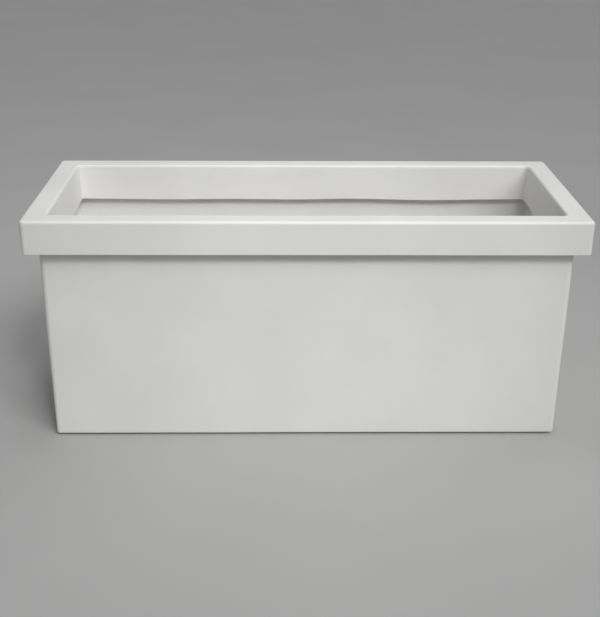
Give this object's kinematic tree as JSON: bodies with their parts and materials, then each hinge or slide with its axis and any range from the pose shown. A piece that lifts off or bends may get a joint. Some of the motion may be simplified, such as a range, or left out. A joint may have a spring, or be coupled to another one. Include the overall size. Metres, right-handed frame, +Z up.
{
  "type": "self watering planter",
  "caption": "Long rectangular patio planter with a deep rim collar over a tapered trough, and a hidden water reservoir under its soil platforms.",
  "frame": {"origin": "on the ground, at the middle of the planter's footprint", "axes": "+X along the length to the fill-cup end, -Y the front, +Z up"},
  "size_m": [0.9138, 0.3814, 0.395],
  "materials": {
    "shell_plastic": "satin moulded white",
    "collar_plastic": "satin moulded white",
    "platform_plastic": "moulded off-white",
    "basket_plastic": "moulded light grey",
    "tube_plastic": "extruded light grey",
    "fill_plastic": "satin dark grey",
    "fitting_plastic": "moulded black",
    "clear_plastic": "clear moulded",
    "float_plastic": "closed-cell foam white",
    "rod_plastic": "drawn white",
    "marker_plastic": "moulded red",
    "black_rubber": "matt",
    "stainless_steel": "turned"
  },
  "bodies": {
    "planter": {"collar_screws": "stainless_steel", "drain_bush": "fitting_plastic", "drain_gasket": "black_rubber", "drain_nut": "fitting_plastic", "fill_cap_pin": "stainless_steel", "fill_cup": "fill_plastic", "fill_tube": "tube_plastic", "foot_pad_1": "black_rubber", "foot_pad_2": "black_rubber", "foot_pad_3": "black_rubber", "foot_pad_4": "black_rubber", "foot_pad_5": "black_rubber", "foot_pad_6": "black_rubber", "gauge_glass": "clear_plastic", "gauge_tube": "tube_plastic", "overflow_gasket": "black_rubber", "overflow_nut": "fitting_plastic", "overflow_screen": "fitting_plastic", "overflow_spout": "fitting_plastic", "planter_shell": "shell_plastic", "platform_clips": "platform_plastic", "platform_left": "platform_plastic", "platform_right": "platform_plastic", "rim_collar": "collar_plastic", "support_column_left_1": "platform_plastic", "support_column_left_2": "platform_plastic", "support_column_left_3": "platform_plastic", "support_column_left_4": "platform_plastic", "support_column_left_5": "platform_plastic", "support_column_left_6": "platform_plastic", "support_column_right_1": "platform_plastic", "support_column_right_2": "platform_plastic", "support_column_right_3": "platform_plastic", "support_column_right_4": "platform_plastic", "support_column_right_5": "platform_plastic", "support_column_right_6": "platform_plastic", "wicking_basket_left_inner": "basket_plastic", "wicking_basket_left_outer": "basket_plastic", "wicking_basket_right_inner": "basket_plastic", "wicking_basket_right_outer": "basket_plastic"},
    "fill_cap": {"fill_cap": "fill_plastic"},
    "level_float": {"gauge_float": "float_plastic", "gauge_rod": "rod_plastic", "gauge_marker": "marker_plastic"},
    "plug_ring": {"drain_o_ring": "black_rubber"},
    "plug": {"drain_plug": "fitting_plastic"}
  },
  "joints": [
    {"name": "fill_cap_hinge", "type": "hinge", "parent": "planter", "child": "fill_cap", "pos_m": [0.3525, -0.118, 0.3625], "axis": [0, -1, 0], "range_deg": [0, 115]},
    {"name": "level_float_slide", "type": "slide", "parent": "planter", "child": "level_float", "axis": [0, 0, 1], "range_m": [0, 0.05]},
    {"name": "plug_travel", "type": "slide", "parent": "planter", "child": "plug_ring", "axis": [0, 1, 0], "range_m": [0, 0.0161]},
    {"name": "plug_turn", "type": "hinge", "parent": "plug_ring", "child": "plug", "pos_m": [0.3, 0.17, 0.029], "axis": [0, 1, 0], "range_deg": [0, 1440]}
  ],
  "couplings": [
    {"joint": "plug_travel", "follows": "plug_turn", "m_per_rad": 0.00063662}
  ]
}
